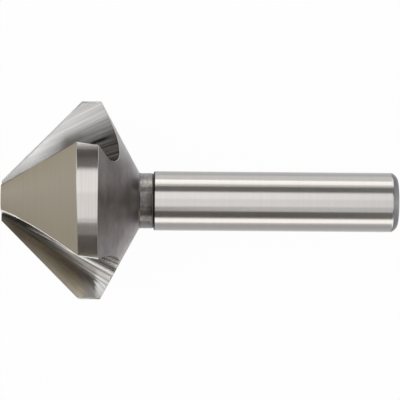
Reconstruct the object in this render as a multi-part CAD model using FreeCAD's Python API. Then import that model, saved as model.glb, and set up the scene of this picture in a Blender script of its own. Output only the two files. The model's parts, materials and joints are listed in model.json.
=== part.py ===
import FreeCAD, Part
import math
import os

# A countersink ground from one bar of tool steel: a 90 degree cone with three lands,
# a cylindrical margin, a back cone, a neck and a plain round shank.
# It is drawn upright, nose at height zero and shank above it, and laid on its side at the end.
# Seen from the shank it cuts clockwise. Lengths are in millimetres, angles in degrees.

# Head, from the nose to the neck
nose_diameter = 11.0
head_diameter = 50.0
point_angle = 90.0
margin_length = 5.5
back_angle = 123.0
neck_diameter = 14.0
neck_length = 3.6
neck_radius = 0.6
undercut_width = 0.35
undercut_depth = 0.12

# Shank. The end's chamfer is crowned by a little over its straight line
shank_diameter = 15.0
shank_length = 61.7
shoulder_chamfer = 0.3
end_chamfer = 1.6
end_crown = 0.25

# Centre hole in each end, for grinding between centres
centre_bore = 1.6
centre_mouth = 3.4
centre_angle = 60.0
centre_bore_depth = 1.5

# Flutes: a flat rake face, a rounded corner at its foot, and a hollow gullet that rises to the
# heel of the next land. They are given at the nose and at a station near the back cone.
# The floor height is measured from the axis, and the rake face leans by the axial rake.
flute_count = 3
axial_rake = 10.0
nose_floor_height = 3.5
nose_corner_radius = 0.8
nose_gullet_radius = 16.2
exit_station = 30.0
exit_floor_height = 15.8
exit_corner_radius = 7.2
exit_gullet_radius = 28.2

# Each land falls away behind its cutting edge, as if turned about an axis moved to one side
relief_drop = 0.65
relief_start = -5.0
relief_span = 82.5

nose_radius = nose_diameter / 2
head_radius = head_diameter / 2
neck_half = neck_diameter / 2
shank_radius = shank_diameter / 2
cone_slope = math.tan(math.radians(point_angle / 2))
back_slope = math.tan(math.radians(back_angle / 2))

cone_end = (head_radius - nose_radius) / cone_slope
margin_end = cone_end + margin_length
back_end = margin_end + (head_radius - neck_half) / back_slope
neck_end = back_end + neck_length
overall_length = neck_end + shank_length

origin = FreeCAD.Vector(0, 0, 0)
tool_axis = FreeCAD.Vector(0, 0, 1)
tilt_axis = FreeCAD.Vector(0, 1, 0)


def centre_hole_profile(face_height, inward):
    """Points of a centre hole from its bottom on the axis to its mouth in an end face."""
    bore_radius = centre_bore / 2
    mouth_radius = centre_mouth / 2
    cone_depth = (mouth_radius - bore_radius) / math.tan(math.radians(centre_angle / 2))
    bore_bottom = face_height + inward * (cone_depth + centre_bore_depth)
    return [
        FreeCAD.Vector(0, 0, bore_bottom),
        FreeCAD.Vector(bore_radius, 0, bore_bottom),
        FreeCAD.Vector(bore_radius, 0, face_height + inward * cone_depth),
        FreeCAD.Vector(mouth_radius, 0, face_height),
    ]


def neck_fillet():
    """Arc that joins the back cone to the neck, and its two ends."""
    turn = math.radians(back_angle / 2)
    reach = neck_radius * math.tan(turn / 2)
    corner = FreeCAD.Vector(neck_half, 0, back_end)
    start = corner + FreeCAD.Vector(math.sin(turn), 0, -math.cos(turn)) * reach
    end = corner + FreeCAD.Vector(0, 0, reach)
    centre = end + FreeCAD.Vector(neck_radius, 0, 0)
    middle_way = (start - centre) + (end - centre)
    middle = centre + middle_way.normalize() * neck_radius
    return start, Part.Arc(start, middle, end).toShape(), end


def crowned_chamfer():
    """Arc that rounds the shank's end, and its two ends."""
    start = FreeCAD.Vector(shank_radius, 0, overall_length - end_chamfer)
    end = FreeCAD.Vector(shank_radius - end_chamfer, 0, overall_length)
    outwards = FreeCAD.Vector(1, 0, 1)
    middle = (start + end) / 2 + outwards.normalize() * end_crown
    return start, Part.Arc(start, middle, end).toShape(), end


def turned_blank():
    """The whole tool before its flutes and relief are ground."""
    fillet_start, fillet, fillet_end = neck_fillet()
    chamfer_start, chamfer, chamfer_end = crowned_chamfer()
    front = centre_hole_profile(0, 1) + [
        FreeCAD.Vector(nose_radius, 0, 0),
        FreeCAD.Vector(head_radius, 0, cone_end),
        FreeCAD.Vector(head_radius, 0, margin_end),
        fillet_start,
    ]
    undercut_start = neck_end - undercut_width
    undercut_radius = neck_half - undercut_depth
    middle = [
        fillet_end,
        FreeCAD.Vector(neck_half, 0, undercut_start),
        FreeCAD.Vector(undercut_radius, 0, undercut_start),
        FreeCAD.Vector(undercut_radius, 0, neck_end),
        FreeCAD.Vector(shank_radius - shoulder_chamfer, 0, neck_end),
        FreeCAD.Vector(shank_radius, 0, neck_end + shoulder_chamfer),
        chamfer_start,
    ]
    back = [chamfer_end] + centre_hole_profile(overall_length, -1)[::-1]
    closing = Part.makeLine(back[-1], front[0])
    edges = Part.makePolygon(front).Edges + [fillet] + Part.makePolygon(middle).Edges
    outline = Part.Wire(edges + [chamfer] + Part.makePolygon(back).Edges + [closing])
    return Part.Face(outline).revolve(origin, tool_axis, 360)


def relief_waste():
    """What is ground off one land: its sector outside a cone whose axis is moved to one side."""
    sector = 360 / flute_count
    shift = relief_drop / (2 * math.sin(math.radians(relief_span / 2)))
    cone_height = margin_end + margin_length
    start_radius = nose_radius - relief_drop / 2
    cone = Part.makeCone(start_radius, start_radius + cone_height * cone_slope, cone_height)
    cone.translate(FreeCAD.Vector(shift, 0, 0))
    cone.rotate(origin, tool_axis, relief_start + relief_span / 2 - 90)
    waste = Part.makeCylinder(head_diameter, margin_end, origin, tool_axis, sector)
    waste.rotate(origin, tool_axis, relief_start - (sector - relief_span) / 2)
    return waste.cut(cone)


def between_stations(at_nose, at_exit, station):
    """A flute size at one distance from the nose, in line with its two given values."""
    return at_nose + (at_exit - at_nose) * station / exit_station


def flute_section(station):
    """Closed outline of the space that a flute takes at one distance from the nose."""
    floor = between_stations(nose_floor_height, exit_floor_height, station)
    corner = between_stations(nose_corner_radius, exit_corner_radius, station)
    gullet = between_stations(nose_gullet_radius, exit_gullet_radius, station)
    face = station * math.tan(math.radians(axial_rake))
    reach = 1.2 * head_radius

    def at(away_from_face, height):
        return FreeCAD.Vector(height, face - away_from_face, station)

    def on_corner(angle):
        return at(corner - corner * math.cos(angle), floor + corner - corner * math.sin(angle))

    def on_gullet(angle):
        return at(corner + gullet * math.sin(angle), floor + gullet - gullet * math.cos(angle))

    sweep = reach / gullet
    face_top = at(0, floor + corner + reach)
    corner_arc = Part.Arc(on_corner(0), on_corner(math.pi / 4), on_corner(math.pi / 2))
    gullet_arc = Part.Arc(on_gullet(0), on_gullet(sweep / 2), on_gullet(sweep))
    return Part.Wire([
        Part.makeLine(face_top, on_corner(0)),
        corner_arc.toShape(),
        gullet_arc.toShape(),
        Part.makeLine(on_gullet(sweep), face_top),
    ])


def flute_space():
    """The ground-out space of one flute, from in front of the nose to behind the back cone."""
    front = flute_section(-nose_corner_radius)
    rear = flute_section(back_end)
    return Part.makeLoft([front, rear], True, True)


def turned_copies(shape):
    """One copy of a shape for each flute, evenly spaced about the axis."""
    copies = []
    for index in range(flute_count):
        copy = shape.copy()
        copy.rotate(origin, tool_axis, index * 360 / flute_count)
        copies.append(copy)
    return copies


def laid_down(tool):
    """The tool as it comes to rest: on the two rear corners beside one flute, and its shank end."""
    corners = [vertex.Point for vertex in tool.Vertexes if abs(vertex.Point.z - margin_end) < 0.001]
    outer = [point for point in corners if math.hypot(point.x, point.y) > head_radius - 0.001]
    first, second = sorted(outer, key=lambda point: point.x)[-2:]
    between = (first + second) / 2
    flute_azimuth = math.degrees(math.atan2(between.y, between.x))
    corner_drop = math.hypot(between.x, between.y)
    shank_contact = overall_length - end_chamfer
    lean = math.degrees(math.atan2(corner_drop - shank_radius, shank_contact - margin_end))
    tool.rotate(origin, tool_axis, -flute_azimuth)
    tool.rotate(origin, tilt_axis, 90 + lean)
    box = tool.optimalBoundingBox(True, False)
    tool.translate(FreeCAD.Vector(-box.Center.x, -box.Center.y, -box.ZMin))
    return tool


os.makedirs("parts", exist_ok=True)
tool = turned_blank()
tool = tool.cut(turned_copies(relief_waste()))
tool = tool.cut(turned_copies(flute_space()))
tool = laid_down(tool.Solids[0])
print("solids", len(tool.Solids), "valid", tool.isValid(), "volume", round(tool.Volume, 1))
tool.exportStep("parts/countersink.step")
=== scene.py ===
import json
import math
import bpy
import bmesh
from mathutils import Matrix, Vector

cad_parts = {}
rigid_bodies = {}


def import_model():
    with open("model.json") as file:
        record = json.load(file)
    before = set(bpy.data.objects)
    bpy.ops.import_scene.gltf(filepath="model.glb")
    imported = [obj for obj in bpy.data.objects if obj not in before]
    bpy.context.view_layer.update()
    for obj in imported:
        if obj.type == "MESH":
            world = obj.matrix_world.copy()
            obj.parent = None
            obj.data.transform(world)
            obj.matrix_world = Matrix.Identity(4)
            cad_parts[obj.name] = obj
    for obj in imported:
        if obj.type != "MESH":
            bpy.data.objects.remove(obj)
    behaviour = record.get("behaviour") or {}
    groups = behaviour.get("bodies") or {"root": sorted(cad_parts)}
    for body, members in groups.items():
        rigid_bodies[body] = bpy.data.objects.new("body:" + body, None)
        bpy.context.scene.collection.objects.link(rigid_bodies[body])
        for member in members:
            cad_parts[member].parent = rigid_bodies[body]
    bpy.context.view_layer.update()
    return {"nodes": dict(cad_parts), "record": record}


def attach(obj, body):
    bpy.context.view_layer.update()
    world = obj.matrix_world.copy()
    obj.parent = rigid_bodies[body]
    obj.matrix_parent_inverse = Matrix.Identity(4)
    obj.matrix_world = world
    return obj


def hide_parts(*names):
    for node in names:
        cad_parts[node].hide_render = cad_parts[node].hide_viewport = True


# Countersink lying on its side on a pale floor, seen from above, square to its shank.
# Lengths are in metres, angles in degrees until a maths function needs them.

for leftOver in list(bpy.data.objects):  # the cube, lamp and camera of a new Blender file
    bpy.data.objects.remove(leftOver)

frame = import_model()
toolNode = frame["nodes"]["countersink"]
print("stage 1: the packed frame is in")


# The tool's own directions, from the shank that a chuck grips
shankMount = frame["record"]["mounts"][0]
toolAxis = Vector(shankMount["axis"]).normalized()  # from the nose towards the shank's end
across = Vector((0, 1, 0))
toolUp = toolAxis.cross(across)
shankMiddle = Vector(shankMount["pos_m"])
noseCentre = shankMiddle + toolAxis * min((v.co - shankMiddle).dot(toolAxis) for v in toolNode.data.vertices)


def inTool(point):  # x across, y up and z from the nose along the axis
    away = point - noseCentre
    return Vector((away.dot(across), away.dot(toolUp), away.dot(toolAxis)))


def aroundAxis(angle):  # the direction square to the axis at an angle from the tool's up towards +Y
    turn = math.radians(angle)
    return toolUp * math.cos(turn) + across * math.sin(turn)


cameraSetup = {
    "fromNose": 0.05012,  # where the view's centre falls, along the tool's axis and above it
    "aboveAxis": 0.00028,
    "distance": 0.5942,
    "lens": 211.3,
    "towardsNose": 0.8,  # how far it leans, and how far its picture is turned
    "towardsTop": 1.2,
    "roll": 0.44,
    "clip": (0.01, 20),
}


def addCamera(setup):
    lean = math.radians(setup["towardsNose"])
    roll = math.radians(setup["roll"])
    back = (aroundAxis(setup["towardsTop"]) - toolAxis * math.tan(lean)).normalized()
    level = (toolAxis - back * toolAxis.dot(back)).normalized()
    right = level * math.cos(roll) + back.cross(level) * math.sin(roll)
    up = back.cross(right)
    target = noseCentre + toolAxis * setup["fromNose"] + up * setup["aboveAxis"]
    camera = bpy.data.objects.new("camera", bpy.data.cameras.new("camera"))
    bpy.context.scene.collection.objects.link(camera)
    camera.data.lens = setup["lens"]
    camera.data.clip_start, camera.data.clip_end = setup["clip"]
    camera.matrix_world = Matrix((right, up, back)).transposed().to_4x4()
    camera.location = target + back * setup["distance"]
    bpy.context.scene.camera = camera


addCamera(cameraSetup)
print("stage 2: camera")


# Sizes of the tool that tell its surfaces apart, and the shape of its three flutes
toolSizes = {
    "headRadius": 0.025,
    "marginEnd": 0.025,
    "neckStart": 0.03477,
    "undercutStart": 0.03802,
    "shankStart": 0.03867,
    "shankRadius": 0.0075,
    "holeRadius": 0.0018,
    "close": 0.0003,  # from the nose or from the head's rim
    "endLean": -0.9,  # how far a face of each kind leans along the axis, or faces straight outwards
    "landLean": -0.55,
    "backLean": 0.6,
    "rimOutward": 0.97,
    "mergeWithin": 1e-7,
    "sliver": 0.00001,
}
fluteShape = {
    "firstFloor": 44.455,  # where one flute's floor lies, from the tool's up towards +Y
    "landBefore": 42,  # and how far before it the middle of that flute's land lies
    "count": 3,
    "axialRake": 10,
    "exitStation": 0.03,  # pairs give a size at the nose and at this station
    "floorHeight": (0.0035, 0.0158),
    "cornerRadius": (0.0008, 0.0072),
    "gulletRadius": (0.0162, 0.0282),
    "rakeWidth": (0.0019, 0.0197),
    "grainSlope": 0.5,
    "grainScale": (0.013, 0.004, 0.022),  # rake face, corner and gullet, spread out flat
}
edgeBreak = {
    "width": 0.00008,
    "heelWidth": 0.00046,
    "heelSegments": 2,
    "heelBeyond": 0.005,  # across the flute, spread out flat
    "endWidth": 0.00015,
    "sharperThan": 14,  # degrees between two kinds of surface, and below within one kind
    "holeSharperThan": 50,
}
perMetre = 1000  # the finishes are written in millimetres
surfaceNames = ["land", "margin", "flute", "backCone", "neck", "shoulder", "shank", "end", "heel", "edge"]


def surfaceKind(face):
    sizes = toolSizes
    middle = inTool(face.calc_center_median())
    station = middle.z
    radius = math.hypot(middle.x, middle.y)
    lean = face.normal.dot(toolAxis)
    outward = face.normal.dot(across * middle.x + toolUp * middle.y) / radius
    if radius < sizes["holeRadius"] or (station < sizes["close"] and lean < sizes["endLean"]):
        return "end"
    if station < sizes["marginEnd"]:
        if lean < sizes["landLean"]:
            return "land"
        onRim = radius > sizes["headRadius"] - sizes["close"]
        return "margin" if onRim and outward > sizes["rimOutward"] else "flute"
    if station > sizes["shankStart"]:
        return "shank" if outward > sizes["rimOutward"] else "end"
    if station > sizes["undercutStart"]:
        return "shoulder"
    if station > sizes["neckStart"] and radius < sizes["shankRadius"]:
        return "neck"
    return "backCone" if lean > sizes["backLean"] else "flute"


def atStation(pair, station):
    return pair[0] + (pair[1] - pair[0]) * station / fluteShape["exitStation"]


def fluteAngles():  # where the floor of each flute lies
    return [fluteShape["firstFloor"] + index * 360 / fluteShape["count"] for index in range(fluteShape["count"])]


def fluteGrain(point):
    # gap to the nearest flute's surface, its floor's direction, and the place on it laid out flat
    shape = fluteShape
    away = point - noseCentre
    station = away.dot(toolAxis)
    corner = atStation(shape["cornerRadius"], station)
    gullet = atStation(shape["gulletRadius"], station)
    rakeScale, cornerScale, gulletScale = shape["grainScale"]
    found = []
    for index, angle in enumerate(fluteAngles()):
        floorWay = aroundAxis(angle)
        height = away.dot(floorWay) - atStation(shape["floorHeight"], station) - corner
        side = station * math.tan(math.radians(shape["axialRake"])) - away.dot(aroundAxis(angle - 90)) - corner
        if side < 0 and height > 0:
            gap = abs(side + corner)
            spread = -height / atStation(shape["rakeWidth"], station) * rakeScale
        elif side < 0:
            gap = abs(math.hypot(side, height) - corner)
            spread = math.atan2(-height, -side) * cornerScale
        else:
            rise = height + corner - gullet
            gap = abs(math.hypot(side, rise) - gullet)
            spread = math.pi / 2 * cornerScale + math.atan2(side, -rise) * gulletScale
        found.append((gap, index, floorWay, Vector((station, spread, index / perMetre))))
    return min(found)


def behindEdge(point):
    # how far a point of a land lies behind the plane of its own rake face
    place = inTool(point)
    turn = math.degrees(math.atan2(place.x, place.y)) + fluteShape["landBefore"]
    floor = min(fluteAngles(), key=lambda angle: abs((turn - angle + 180) % 360 - 180))
    side = (point - noseCentre).dot(aroundAxis(floor - 90))
    return side - place.z * math.tan(math.radians(fluteShape["axialRake"]))


def thinness(face):
    return face.calc_area() / max(edge.calc_length() for edge in face.edges)


def kindsBeside(edge):
    return {surfaceNames[face.material_index] for face in edge.link_faces}


def isHeel(edge):  # the back edge of a land, at the top of a gullet, or the rim of a margin
    kinds = kindsBeside(edge)
    spread = fluteGrain((edge.verts[0].co + edge.verts[1].co) / 2)[3].y
    onLand = kinds == {"land", "flute"} and spread > edgeBreak["heelBeyond"]
    return kinds == {"margin", "flute"} or onLand


def isCorner(edge):
    one, other = edge.link_faces
    kinds = kindsBeside(edge)
    smallest = edgeBreak["sharperThan"] if len(kinds) == 2 else edgeBreak["holeSharperThan"]
    angle = math.degrees(one.normal.angle(other.normal, 0))
    return angle > smallest and not kinds & {"heel", "shoulder"}


def breakEdges(shape, edges, name, width, segments=1):
    made = bmesh.ops.bevel(
        shape, geom=edges, offset=width, affect="EDGES", segments=segments, profile=0.5, material=-1)
    for face in made["faces"]:
        face.material_index = surfaceNames.index(name)
    shape.normal_update()


def dressedTool():
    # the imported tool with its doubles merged, its sharp edges broken and its grinding direction on it
    shape = bmesh.new()
    shape.from_mesh(toolNode.data)
    bmesh.ops.remove_doubles(shape, verts=shape.verts, dist=toolSizes["mergeWithin"])
    bmesh.ops.recalc_face_normals(shape, faces=shape.faces)
    shape.normal_update()
    for face in shape.faces:
        face.material_index = surfaceNames.index(surfaceKind(face))
        face.smooth = True
    slivers = [face for face in shape.faces if thinness(face) < toolSizes["sliver"]]
    for face in sorted(slivers, key=thinness, reverse=True):  # too thin for its normal to be trusted
        longest = max(face.edges, key=lambda edge: edge.calc_length())
        face.material_index = next(beside for beside in longest.link_faces if beside is not face).material_index
    heels = [edge for edge in shape.edges if isHeel(edge)]
    breakEdges(shape, heels, "heel", edgeBreak["heelWidth"], edgeBreak["heelSegments"])
    shankEnd = [edge for edge in shape.edges if kindsBeside(edge) == {"shank", "end"}]
    breakEdges(shape, shankEnd, "edge", edgeBreak["endWidth"])
    corners = [edge for edge in shape.edges if isCorner(edge)]
    breakEdges(shape, corners, "edge", edgeBreak["width"])
    shape.normal_update()
    for edge in shape.edges:
        edge.smooth = len(kindsBeside(edge)) == 1
    grain = shape.loops.layers.float_vector.new("grain")
    acrossGrain = shape.loops.layers.float_vector.new("acrossGrain")
    behind = shape.loops.layers.float.new("behindEdge")
    for face in shape.faces:
        name = surfaceNames[face.material_index]
        for loop in face.loops:
            if name == "flute":
                floorWay, place = fluteGrain(loop.vert.co)[2:]
                loop[grain] = place * perMetre
                loop[acrossGrain] = face.normal.cross(toolAxis + floorWay * fluteShape["grainSlope"]).normalized()
            else:
                loop[grain] = inTool(loop.vert.co) * perMetre
                loop[acrossGrain] = toolAxis
                loop[behind] = behindEdge(loop.vert.co) * perMetre
    mesh = bpy.data.meshes.new("groundTool")
    shape.to_mesh(mesh)
    shape.free()
    tool = bpy.data.objects.new("groundTool", mesh)
    bpy.context.scene.collection.objects.link(tool)
    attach(tool, "root")
    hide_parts("countersink")
    return tool


tool = dressedTool()
print("stage 3: the tool's surfaces", len(tool.data.polygons))


# Finishes, with painted light and shade. "stretch" is how fast the pattern changes along x, y and z of the grain,
# per millimetre:
# round the tool's axis and along it on turned surfaces, along and across the marks in the flutes.
# "round" is a painted tint of light and shade at angles about the axis, from the tool's up towards +Y. A patch
# mixes in its own colour, mostly painted shade or highlight, where all of its ranges hold: round the axis in
# degrees, along it from the nose in millimetres, or so many millimetres behind the cutting edge
atShankEnd = [(95, 0), (96, 1)]
finishesAndPaintedLight = {
    "land": {"light": (0.325, 0.292, 0.238), "dark": (0.307, 0.276, 0.224), "rough": 0.3, "anisotropic": 0.6,
             "stretch": (0.05, 0.05, 2.6), "bump": 0.04,
             # painted light and shade round the land, a little lighter towards +Y
             "round": [(-40, (0.96, 0.945, 0.89)), (-18, (0.93, 0.915, 0.86)), (0, (0.99, 0.98, 0.97)),
                       (15, (1.06, 1.05, 1.03)), (36, (1.05, 1.02, 0.94))],
             "patches": [{"colour": (0.12, 0.108, 0.097),  # painted shade along the cutting edge
                          "ranges": {"behind": [(0, 1), (0.2, 1), (0.45, 0)],
                                     "along": [(0, 1), (5, 0.9), (7.5, 0.2), (11, 0.1), (13, 0.9), (18, 1),
                                               (20, 0.6)]}}]},
    "margin": {"light": (0.46, 0.44, 0.425), "dark": (0.43, 0.41, 0.395), "rough": 0.15, "anisotropic": 0.5,
               "stretch": (0.05, 0.05, 3.0), "bump": 0.04,
               # painted highlights and dark reflections at angles round the margin
               "round": [(-180, 1.0), (-36, (1.9, 1.93, 1.82)), (-33.8, (1.85, 1.88, 1.77)),
                         (-32.3, (1.5, 1.53, 1.42)), (-31, (1.2, 1.23, 1.13)), (-29.3, (1.0, 1.02, 0.95)),
                         (-27, (0.86, 0.88, 0.82)), (-24.5, (0.88, 0.9, 0.84)), (-22, 0.98), (-14.5, 0.95),
                         (-13.2, 0.97), (-12.4, 1.13), (-11.7, 1.26), (-10.9, 1.34), (-10, 1.04), (-9, 1.0),
                         (20.5, 0.95), (22, 1.12), (24.3, 1.0), (27, 0.7), (30.5, 0.68),
                         (32, (0.54, 0.52, 0.49)), (33.2, (0.8, 0.77, 0.73)), (34, 1.03), (35, 1.2),
                         (36.5, 1.25), (39, 1.0), (180, 1.0)]},
    "flute": {"light": (1.06, 1.06, 1.06), "dark": (0.9, 0.9, 0.9), "rough": 0.25, "anisotropic": 0.6,
              "stretch": (0.045, 1.7, 1.7), "bump": 0.06},
    "backCone": {"light": (0.212, 0.195, 0.19), "dark": (0.142, 0.127, 0.121), "rough": 0.32, "anisotropic": 0.5,
                 "stretch": (0.16, 0.16, 0.5), "bump": 0.03,
                 # painted reflection round the back cone, lighter and bluer towards the sides
                 "round": [(-180, 1.4), (-90, 1.9), (-65, 1.7), (-45, (1.3, 1.29, 1.38)),
                           (-30, (1.02, 1.0, 1.05)), (-15, (0.83, 0.8, 0.78)), (5, (1.08, 1.05, 1.02)),
                           (15, 0.9), (30, (0.82, 0.82, 0.84)), (37, (0.93, 0.94, 1.02)),
                           (45, (1.16, 1.17, 1.27)), (65, (1.8, 1.82, 1.95)), (90, 1.9), (180, 1.4)],
                 "patches": [{"colour": (0.4, 0.37, 0.345),  # painted highlight beside the neck
                              "ranges": {"round": [(-21, 0), (-8, 1), (14, 1), (23, 0)],
                                         "along": [(32.4, 0), (33.5, 0.75), (34.3, 0.95), (34.5, 0.3)]}}]},
    "neck": {"light": (1.22, 1.22, 1.23), "dark": (0.71, 0.7, 0.69), "rough": 0.26, "anisotropic": 0.5,
             "stretch": (0.8, 0.8, 1.0), "bump": 0.05,
             # painted reflection bands round the neck, which give its colour
             "round": [(-90, (0.3, 0.29, 0.29)), (-52, (0.18, 0.172, 0.167)), (-37, (0.12, 0.111, 0.106)),
                       (-25, (0.3, 0.285, 0.27)), (-15, (0.13, 0.12, 0.115)), (-4, (0.1, 0.095, 0.094)),
                       (7, (0.11, 0.106, 0.108)), (16, (0.15, 0.147, 0.15)), (25, (0.37, 0.355, 0.345)),
                       (37, (0.23, 0.22, 0.21)), (48, (0.32, 0.31, 0.3)), (60, (0.27, 0.26, 0.25)),
                       (90, (0.3, 0.29, 0.29))],
             "patches": [{"colour": (0.045, 0.04, 0.037),  # painted shade in the fillet
                          "ranges": {"along": [(34.4, 0.55), (34.95, 0.5), (35.15, 0)]}},
                         {"colour": (0.05, 0.045, 0.04),  # painted shade beside the undercut
                          "ranges": {"round": [(-45, 0), (-30, 0.6), (-18, 1), (14, 1), (25, 0)],
                                     "along": [(36.3, 0), (37.6, 0.8), (38, 0.95)]}}]},
    # the undercut's dark colour is painted shade
    "shoulder": {"light": (0.05, 0.045, 0.04), "dark": (0.03, 0.026, 0.022), "rough": 0.4, "anisotropic": 0.0,
                 "stretch": (0.3, 0.3, 0.3), "bump": 0.06,
                 "patches": [{"colour": (0.16, 0.15, 0.145),  # less painted shade on the front of the undercut
                              "ranges": {"along": [(38.24, 1), (38.32, 0)]}}]},
    "shank": {"light": (0.472, 0.459, 0.446), "dark": (0.456, 0.443, 0.43), "rough": 0.19, "anisotropic": 0.5,
              "stretch": (0.05, 0.05, 3.0), "bump": 0.02,
              # painted reflection bands round the shank
              "round": [(-180, 1.0), (-82, 1.0), (-68, 0.82), (-52, 0.78), (-46, 1.0), (-18, 1.03), (0, 0.95),
                        (41, 1.0), (47, 1.25), (58, 1.28), (63, 1.0), (70, 0.92), (78, 0.96), (84, 1.0),
                        (180, 1.0)],
              "patches": [{"colour": (0.06, 0.055, 0.05),  # painted shade at the shank's start
                           "ranges": {"along": [(38.72, 1), (38.8, 0)]}}]},
    "end": {"light": (0.25, 0.242, 0.248), "dark": (0.205, 0.198, 0.203), "rough": 0.35, "anisotropic": 0.4,
            "stretch": (0.3, 0.3, 3.0), "bump": 0.08,
            # painted highlight on the end faces, brightest towards the tool's up
            "round": [(-180, 0.9), (-44, 0.83), (-22, 1.06), (0, 1.5), (25, 1.1), (44, 0.83), (180, 0.9)]},
    # the heels' and rims' bright colour is a painted highlight, dimmer on the far side round the axis
    "heel": {"light": (0.97, 0.95, 0.91), "dark": (0.8, 0.78, 0.74), "rough": 0.4, "anisotropic": 0.0,
             "stretch": (0.3, 0.3, 0.5), "bump": 0.04,
             "round": [(-180, 0.68), (-94, 0.6), (-84, 1.0), (48, 1.0), (66, 0.68), (180, 0.68)],
             "patches": [{"colour": (0.45, 0.435, 0.42),  # less painted highlight on the rims low on the -Y side
                          "ranges": {"round": [(-130, 0), (-110, 0.9), (-84, 0.9), (-78, 0)],
                                     "along": [(19, 0), (20, 1)]}}]},
    "edge": {"light": (0.56, 0.54, 0.52), "dark": (0.48, 0.46, 0.44), "rough": 0.35, "anisotropic": 0.0,
             "stretch": (0.3, 0.3, 3.0), "bump": 0.04,
             # painted shade on the edges between 8 and 46 degrees from the tool's up towards -Y
             "round": [(-180, 1.0), (-46, 0.5), (-8, 0.5), (8, 1.0), (180, 1.0)],
             "patches": [{"colour": (0.25, 0.24, 0.235),  # round the shank's end
                          "ranges": {"along": atShankEnd}},
                         {"colour": (0.95, 0.94, 0.97),  # and painted highlights on that
                          "ranges": {"round": [(-60, 0), (-48, 0.8), (-36, 0.8), (-30, 0), (-17, 0), (-10, 1),
                                               (12, 1), (18, 0), (31, 0), (37, 0.7), (50, 0.7), (62, 0)],
                                     "along": atShankEnd}}]},
}
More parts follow.
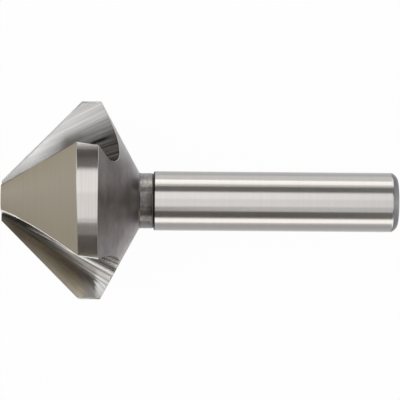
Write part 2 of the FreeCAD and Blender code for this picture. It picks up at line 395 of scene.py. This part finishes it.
# Colours across a flute, partly the steel's own olive and brown tint and partly painted highlight and shade, in
# millimetres
# from the foot of its rake face: up that face below nought, round the corner and up the gullet above it. Most
# patches are painted shade or highlight. A patch can be kept to one flute
firstFluteOnly = [(0, 1), (1, 0)]
fluteColours = {
    "across": [(-8, (0.4, 0.36, 0.29)), (-6, (0.36, 0.32, 0.245)), (-4, (0.3, 0.255, 0.185)),
               (-3, (0.25, 0.205, 0.147)), (-1.5, (0.265, 0.212, 0.155)), (0, (0.24, 0.2, 0.15)),
               (1, (0.35, 0.325, 0.3)), (2, (0.66, 0.63, 0.6)), (3, (0.97, 0.94, 0.9)), (6, (0.95, 0.92, 0.85)),
               (8, (0.72, 0.7, 0.65)), (9.5, (0.42, 0.41, 0.39)), (11, (0.32, 0.31, 0.3)),
               (13, (0.23, 0.222, 0.215)), (15, (0.25, 0.242, 0.235)), (17, (0.33, 0.325, 0.32)),
               (20, (0.37, 0.367, 0.36)), (24, (0.4, 0.395, 0.39))],
    "patches": [
        {"colour": (0.1, 0.082, 0.06),  # painted shade on the rake face at the nose
         "ranges": {"across": [(-9, 1), (-0.5, 1), (1, 0)],
                    "along": [(3, 1), (5, 0.9), (7.5, 0.55), (10.5, 0.15), (13, 0)]}},
        {"colour": (0.14, 0.13, 0.118),  # painted shade in the narrow foot of the flute at the nose
         "ranges": {"across": [(1, 0), (2, 1), (3, 1), (4, 0.87), (5, 0.65), (6, 0.3), (7, 0)],
                    "along": [(6, 1), (10, 0)]}},
        {"colour": (0.33, 0.295, 0.262),  # painted light on the foot of the rake face further back
         "ranges": {"across": [(-1.8, 0), (-0.6, 1), (0.7, 1), (1.2, 0)], "along": [(15, 0), (19.5, 1)]}},
        {"colour": (0.24, 0.19, 0.14),  # browner painted shade in a line above that foot
         "ranges": {"across": [(-4.2, 0), (-3.2, 1), (-1.6, 1), (-0.8, 0)],
                    "along": [(14, 0), (18, 1), (21.5, 1), (23, 0)]}},
        {"colour": (0.03, 0.026, 0.021),  # painted shade in the corner from the nose
         "ranges": {"across": [(-1, 0), (0, 0.8), (1, 1), (1.4, 1), (1.9, 0)],
                    "along": [(9, 1), (11, 0.7), (16, 0)]}},
        {"colour": (0.035, 0.031, 0.026),  # and painted shade on its side towards the gullet
         "ranges": {"across": [(1.4, 0), (1.8, 1), (2.3, 1), (2.6, 0)],
                    "along": [(8, 1), (11, 1), (13.5, 0.78), (17.5, 0)]}},
        {"colour": (0.045, 0.04, 0.033),  # and a line of painted shade that runs on further back
         "ranges": {"across": [(0.2, 0), (0.8, 1), (1.5, 1), (2, 0)],
                    "along": [(9, 1), (16.5, 0.85), (19.5, 0.6), (22.5, 0.3), (25, 0)]}},
        {"colour": (0.74, 0.73, 0.72),  # painted highlight at the start of the gullet
         "ranges": {"across": [(6, 0), (8, 0.7), (12, 0.8), (15, 0.72), (18, 0)],
                    "along": [(8, 1), (13, 0.4), (16, 0)]}},
        {"colour": (0.33, 0.323, 0.315),  # and painted light at the gullet's end
         "ranges": {"across": [(10.8, 0), (11.8, 1), (14, 1), (15.5, 0)],
                    "along": [(21, 0), (23, 0.3), (26, 0.9), (29, 1)]}},
        {"colour": (0.25, 0.236, 0.22),  # greyer rake face towards its run-out
         "ranges": {"across": [(-9, 1), (1, 1), (1.8, 0)], "along": [(20.3, 0), (22, 1)]}},
        {"colour": (0.16, 0.147, 0.131),  # painted shade in the middle of that
         "ranges": {"across": [(-5, 0), (-4, 0.7), (-2, 0.9), (-1, 0)],
                    "along": [(19.3, 0), (20.5, 0.9), (22.3, 0.9), (23.3, 0)]}},
        {"colour": (0.09, 0.08, 0.07),  # painted shade on the rake face before its run-out
         "ranges": {"across": [(-3.3, 0), (-2.6, 1), (-1.6, 1), (-0.7, 0)],
                    "along": [(20.8, 0), (22.2, 0.9), (23.7, 0.9), (24.1, 0)]}},
        {"colour": (0.68, 0.67, 0.66),  # painted reflection on the rake face's run-out
         "ranges": {"across": [(-9, 0.1), (-4.5, 0.35), (-2.5, 0.8), (-0.8, 1), (0, 0.45), (1.5, 0.25), (2, 0)],
                    "along": [(23.6, 0), (24.6, 1)]}},
        {"colour": (0.155, 0.148, 0.14),  # painted shade in the gullet of one flute
         "ranges": {"across": [(11.5, 0), (12.3, 1), (14.3, 1), (15.6, 0)],
                    "along": [(14.5, 0), (16.5, 1), (19.5, 0.7), (21, 0)], "flute": firstFluteOnly}},
        {"colour": (0.088, 0.077, 0.068),  # its run-out in painted shade
         "ranges": {"across": [(-9, 0.95), (6.4, 1), (8, 0.7), (9.5, 0.36), (11.2, 0.3), (12, 0)],
                    "along": [(15, 0), (18, 1)], "flute": firstFluteOnly}},
        {"colour": (0.035, 0.033, 0.034),  # and a painted shadow line along that run-out's top
         "ranges": {"across": [(10.3, 0), (10.7, 1), (11.1, 1), (11.5, 0)],
                    "along": [(22, 0), (23.3, 1), (26, 1), (28.5, 0)], "flute": firstFluteOnly}},
    ],
    "ragged": 2.5,  # how far the streaks pull a patch's ends about, along the tool
    "streaks": {"stretch": (0.03, 2.0, 1.7), "dark": 0.36, "light": 1.65,
                "ranges": {"across": [(-3, 0), (-0.5, 0.3), (1.5, 1), (9, 1), (12, 0.3), (24, 0.2)],
                           "along": [(12, 0), (20, 1)]}},
}
grindingMarks = {
    "depth": 0.00002,
    "detail": 3,
    "roughness": 0.6,
    "darkBelow": 0.35,  # where the noise takes the dark colour, and where the light one
    "lightAbove": 0.65,
    "middle": 0.5,  # what the noise lies about
}


def addNode(tree, kind, place, **values):
    node = tree.nodes.new(kind)
    node.location = place
    for name, value in values.items():
        setattr(node, name, value)
    return node


def addRamp(tree, source, place, stops):
    # a colour or share read along a length in millimetres or round an angle
    first, last = stops[0][0], stops[-1][0]
    share = addNode(tree, "ShaderNodeMapRange", place)
    share.inputs["From Min"].default_value = first
    share.inputs["From Max"].default_value = last
    ramp = addNode(tree, "ShaderNodeValToRGB", (place[0] + 200, place[1]))
    while len(ramp.color_ramp.elements) < len(stops):
        ramp.color_ramp.elements.new(0.5)
    for element, (length, value) in zip(ramp.color_ramp.elements, stops):
        element.position = (length - first) / (last - first)
        element.color = (*value, 1) if isinstance(value, tuple) else (value, value, value, 1)
    tree.links.new(source, share.inputs["Value"])
    tree.links.new(share.outputs["Result"], ramp.inputs["Fac"])
    return ramp.outputs["Color"]


def addMix(tree, kind, place, factor, one, other):  # each a value or another node's socket
    mix = addNode(tree, "ShaderNodeMix", place, data_type="RGBA", blend_type=kind)
    for index, value in ((0, factor), (6, one), (7, other)):  # its sockets for colours
        socket = mix.inputs[index]
        if isinstance(value, bpy.types.NodeSocket):
            tree.links.new(value, socket)
        else:
            socket.default_value = value
    return mix.outputs[2]


def addMarks(tree, grain, place, stretch, dark, light):
    # long noise along the grinding marks, as a height and as a colour between two
    drawn = addNode(tree, "ShaderNodeMapping", place)
    drawn.inputs["Scale"].default_value = stretch
    noise = addNode(tree, "ShaderNodeTexNoise", (place[0] + 200, place[1]))
    noise.inputs["Scale"].default_value = 1
    noise.inputs["Detail"].default_value = grindingMarks["detail"]
    noise.inputs["Roughness"].default_value = grindingMarks["roughness"]
    shade = addNode(tree, "ShaderNodeValToRGB", (place[0] + 400, place[1]))
    lower, upper = shade.color_ramp.elements
    lower.position, lower.color = grindingMarks["darkBelow"], (*dark, 1)
    upper.position, upper.color = grindingMarks["lightAbove"], (*light, 1)
    tree.links.new(grain, drawn.inputs["Vector"])
    tree.links.new(drawn.outputs["Vector"], noise.inputs["Vector"])
    tree.links.new(noise.outputs["Fac"], shade.inputs["Fac"])
    return noise.outputs["Fac"], shade.outputs["Color"]


def addPlace(tree, places, left, ranges):  # where all of the ranges hold
    share = None
    for index, (name, stops) in enumerate(ranges.items()):
        part = addRamp(tree, places[name], (left, 900 - 300 * index), stops)
        share = addMix(tree, "MULTIPLY", (left + 500, 900 - 300 * index), 1, share, part) if share else part
    return share


def addPatches(tree, places, shade, patches):
    for index, patch in enumerate(patches):
        left = -900 + 700 * index
        share = addPlace(tree, places, left, patch["ranges"])
        shade = addMix(tree, "MIX", (left + 650, 1200), share, shade, (*patch["colour"], 1))
    return shade


def fluteShades(tree, grain, marks):
    parts = addNode(tree, "ShaderNodeSeparateXYZ", (-1300, 500))
    tree.links.new(grain, parts.inputs[0])
    look = fluteColours["streaks"]
    dark, light = ((look[name],) * 3 for name in ("dark", "light"))
    height, streaks = addMarks(tree, grain, (-1900, 1500), look["stretch"], dark, light)
    shift = addNode(tree, "ShaderNodeMath", (-1300, 1500), operation="SUBTRACT")
    shift.inputs[1].default_value = grindingMarks["middle"]
    along = addNode(tree, "ShaderNodeMath", (-1100, 1500), operation="MULTIPLY_ADD")
    along.inputs[1].default_value = fluteColours["ragged"]
    tree.links.new(height, shift.inputs[0])
    tree.links.new(shift.outputs[0], along.inputs[0])
    tree.links.new(parts.outputs["X"], along.inputs[2])
    places = {"along": along.outputs[0], "across": parts.outputs["Y"], "flute": parts.outputs["Z"]}
    shade = addRamp(tree, places["across"], (-1100, 1200), fluteColours["across"])
    shade = addPatches(tree, places, shade, fluteColours["patches"])
    share = addPlace(tree, places, 9000, look["ranges"])
    shade = addMix(tree, "MULTIPLY", (9800, 900), share, shade, streaks)
    return addMix(tree, "MULTIPLY", (10000, 500), 1, shade, marks)


def turnedShades(tree, grain, look, marks):
    parts = addNode(tree, "ShaderNodeSeparateXYZ", (-2100, 500))
    turn = addNode(tree, "ShaderNodeMath", (-1900, 500), operation="ARCTAN2")
    degrees = addNode(tree, "ShaderNodeMath", (-1700, 500), operation="DEGREES")
    tree.links.new(grain, parts.inputs[0])
    tree.links.new(parts.outputs["X"], turn.inputs[0])
    tree.links.new(parts.outputs["Y"], turn.inputs[1])
    tree.links.new(turn.outputs[0], degrees.inputs[0])
    behind = addNode(tree, "ShaderNodeAttribute", (-2100, 200), attribute_name="behindEdge")
    places = {"round": degrees.outputs[0], "along": parts.outputs["Z"], "behind": behind.outputs["Fac"]}
    if "round" in look:
        # a painted tint of light and shade round the axis, times the grinding marks
        tint = addRamp(tree, places["round"], (-1500, 500), look["round"])
        marks = addMix(tree, "MULTIPLY", (-950, 500), 1, tint, marks)
    return addPatches(tree, places, marks, look.get("patches", []))


# steel with its grinding marks, roughness and grain, and painted light and shade from its tints and patches
def steelFinishWithPaintedLight(name, look):
    material = bpy.data.materials.new(name + "Steel")
    material.use_nodes = True
    tree = material.node_tree
    steel = tree.nodes["Principled BSDF"]
    steel.inputs["Metallic"].default_value = 1
    steel.inputs["Roughness"].default_value = look["rough"]
    steel.inputs["Anisotropic"].default_value = look["anisotropic"]
    grain = addNode(tree, "ShaderNodeAttribute", (-1500, 0), attribute_name="grain").outputs["Vector"]
    height, colour = addMarks(tree, grain, (-900, 0), look["stretch"], look["dark"], look["light"])
    relief = addNode(tree, "ShaderNodeBump", (-300, -200))
    relief.inputs["Strength"].default_value = look["bump"]
    relief.inputs["Distance"].default_value = grindingMarks["depth"]
    turn = addNode(tree, "ShaderNodeAttribute", (-300, -400), attribute_name="acrossGrain")
    tree.links.new(height, relief.inputs["Height"])
    if name == "flute":
        colour = fluteShades(tree, grain, colour)
    if "round" in look or "patches" in look:
        colour = turnedShades(tree, grain, look, colour)
    tree.links.new(colour, steel.inputs["Base Color"])
    tree.links.new(relief.outputs["Normal"], steel.inputs["Normal"])
    if look["anisotropic"]:
        tree.links.new(turn.outputs["Vector"], steel.inputs["Tangent"])
    return material


for surfaceName in surfaceNames:
    tool.data.materials.append(steelFinishWithPaintedLight(surfaceName, finishesAndPaintedLight[surfaceName]))
print("stage 4: finishes")


# Soft studio: a pale floor and room, lamps as panels, and dark cards between them.
# "round" is an angle about the tool's axis from its up towards +Y, "along" one towards the shank's end
studio = {
    "room": (0.83, 0.83, 0.84),
    "roomWhite": {"seen": 1.0, "mirrored": 1.0},
    "floor": (0.85, 0.85, 0.85),
    "floorWhite": {"seen": 0.97, "mirrored": 0.6},
    "floorSize": 8,
    "paintRoughness": 0.9,
    "lampDistance": 0.75,
    "cardDistance": 0.5,
    "lamps": {
        "overheadLamp": {"round": (-21, 37), "along": (-44, 12), "glow": 0.45, "colour": (1, 0.985, 0.97)},
        "overheadRearLamp": {"round": (9, 37), "along": (-44, 12), "glow": 0.22, "colour": (1, 0.985, 0.97)},
        "frontLamp": {"round": (-103, -70.5), "along": (-16, 26), "glow": 1.06, "colour": (1, 0.955, 0.86)},
        "rearLamp": {"round": (71, 117), "along": (-16, 26), "glow": 1.06, "colour": (1, 0.955, 0.86)},
        "noseLamp": {"round": (14, 46), "along": (-52, -32), "glow": 0.6, "colour": (1, 1, 1)},
    },
    "cards": {
        "frontCard": {"round": (-66, -38), "along": (-14, 16), "colour": (0.26, 0.235, 0.22)},
        "frontHeadCard": {"round": (-38, -23), "along": (-14, -1), "colour": (0.58, 0.56, 0.53)},
        "rearCard": {"round": (38, 61), "along": (-14, 16), "colour": (0.36, 0.34, 0.32)},
        "frontNoseCard": {"round": (-88, -46), "along": (-40, -19), "colour": (0.07, 0.06, 0.05)},
        "rearNoseCard": {"round": (52, 125), "along": (-41, -19), "colour": (0.07, 0.06, 0.055)},
        "shankCard": {"round": (-50, 60), "along": (22, 60), "colour": (0.42, 0.4, 0.38)},
    },
}


def panelSide(angles, distance):
    return 2 * distance * math.tan(math.radians(angles[1] - angles[0]) / 2)


def panelPlace(panel, distance):
    # matrix and two side lengths of a panel that faces the tool from its range of directions
    middle = math.radians(sum(panel["along"]) / 2)
    side = aroundAxis(sum(panel["round"]) / 2)
    outward = side * math.cos(middle) + toolAxis * math.sin(middle)
    wide = outward.cross(toolAxis).normalized()
    long = wide.cross(outward)
    place = Matrix((wide, long, outward)).transposed().to_4x4()
    place.translation = noseCentre + toolAxis * cameraSetup["fromNose"] + outward * distance
    return place, panelSide(panel["round"], distance) * math.cos(middle), panelSide(panel["along"], distance)


def addLamp(name, panel):
    place, width, length = panelPlace(panel, studio["lampDistance"])
    lamp = bpy.data.lights.new(name, "AREA")
    lamp.shape = "RECTANGLE"
    lamp.size = width
    lamp.size_y = length
    lamp.color = panel["colour"]
    lamp.energy = panel["glow"] * math.pi * width * length
    stand = bpy.data.objects.new(name, lamp)
    stand.matrix_world = place
    stand.visible_camera = False
    bpy.context.scene.collection.objects.link(stand)


def plainPaint(name, colour):
    paint = bpy.data.materials.new(name)
    paint.use_nodes = True
    surface = paint.node_tree.nodes["Principled BSDF"]
    surface.inputs["Base Color"].default_value = (*colour, 1)
    surface.inputs["Roughness"].default_value = studio["paintRoughness"]
    surface.inputs["Specular IOR Level"].default_value = 0
    return paint


def addSheet(name, place, width, length, paint):
    sheet = bmesh.new()
    bmesh.ops.create_grid(sheet, x_segments=1, y_segments=1, size=0.5)  # one metre square at first
    bmesh.ops.scale(sheet, vec=(width, length, 1), verts=sheet.verts)
    bmesh.ops.transform(sheet, matrix=place, verts=sheet.verts)
    mesh = bpy.data.meshes.new(name)
    sheet.to_mesh(mesh)
    sheet.free()
    mesh.materials.append(paint)
    thing = bpy.data.objects.new(name, mesh)
    bpy.context.scene.collection.objects.link(thing)
    return thing


def showWhite(tree, plain, output, share):
    # mixes in plain white for what the camera, gloss and glass see, without more light on the tool
    seen = addNode(tree, "ShaderNodeLightPath", (-600, 300))
    mirrored = addNode(tree, "ShaderNodeMath", (-400, 200), operation="MAXIMUM")
    part = addNode(tree, "ShaderNodeMath", (-250, 200), operation="MULTIPLY")
    part.inputs[1].default_value = share["mirrored"]
    mostly = addNode(tree, "ShaderNodeMath", (-250, 400), operation="MULTIPLY")
    mostly.inputs[1].default_value = share["seen"]
    both = addNode(tree, "ShaderNodeMath", (-100, 300), operation="MAXIMUM")
    kind = "ShaderNodeBackground" if plain.node.type == "BACKGROUND" else "ShaderNodeEmission"
    white = addNode(tree, kind, (-100, 100))
    white.inputs["Color"].default_value = (1, 1, 1, 1)
    mix = addNode(tree, "ShaderNodeMixShader", (100, 200))
    tree.links.new(seen.outputs["Is Glossy Ray"], mirrored.inputs[0])
    tree.links.new(seen.outputs["Is Transmission Ray"], mirrored.inputs[1])
    tree.links.new(mirrored.outputs[0], part.inputs[0])
    tree.links.new(seen.outputs["Is Camera Ray"], mostly.inputs[0])
    tree.links.new(part.outputs[0], both.inputs[0])
    tree.links.new(mostly.outputs[0], both.inputs[1])
    tree.links.new(both.outputs[0], mix.inputs[0])
    tree.links.new(plain, mix.inputs[1])
    tree.links.new(white.outputs[0], mix.inputs[2])
    tree.links.new(mix.outputs[0], output)


def addStudio():
    for name, panel in studio["lamps"].items():
        addLamp(name, panel)
    for name, panel in studio["cards"].items():
        place, width, length = panelPlace(panel, studio["cardDistance"])
        paint = plainPaint(name + "Paint", panel["colour"])
        addSheet(name, place, width, length, paint).visible_camera = False
    paint = plainPaint("floorPaint", studio["floor"])
    nodes = paint.node_tree.nodes
    showWhite(paint.node_tree, nodes["Principled BSDF"].outputs[0], nodes["Material Output"].inputs["Surface"],
              studio["floorWhite"])
    addSheet("floor", Matrix.Identity(4), studio["floorSize"], studio["floorSize"], paint)
    room = bpy.data.worlds.new("room")
    room.use_nodes = True
    nodes = room.node_tree.nodes
    nodes["Background"].inputs["Color"].default_value = (*studio["room"], 1)
    showWhite(room.node_tree, nodes["Background"].outputs[0], nodes["World Output"].inputs["Surface"],
              studio["roomWhite"])
    bpy.context.scene.world = room


addStudio()
print("stage 5: studio")

bpy.context.scene.view_settings.view_transform = "Standard"
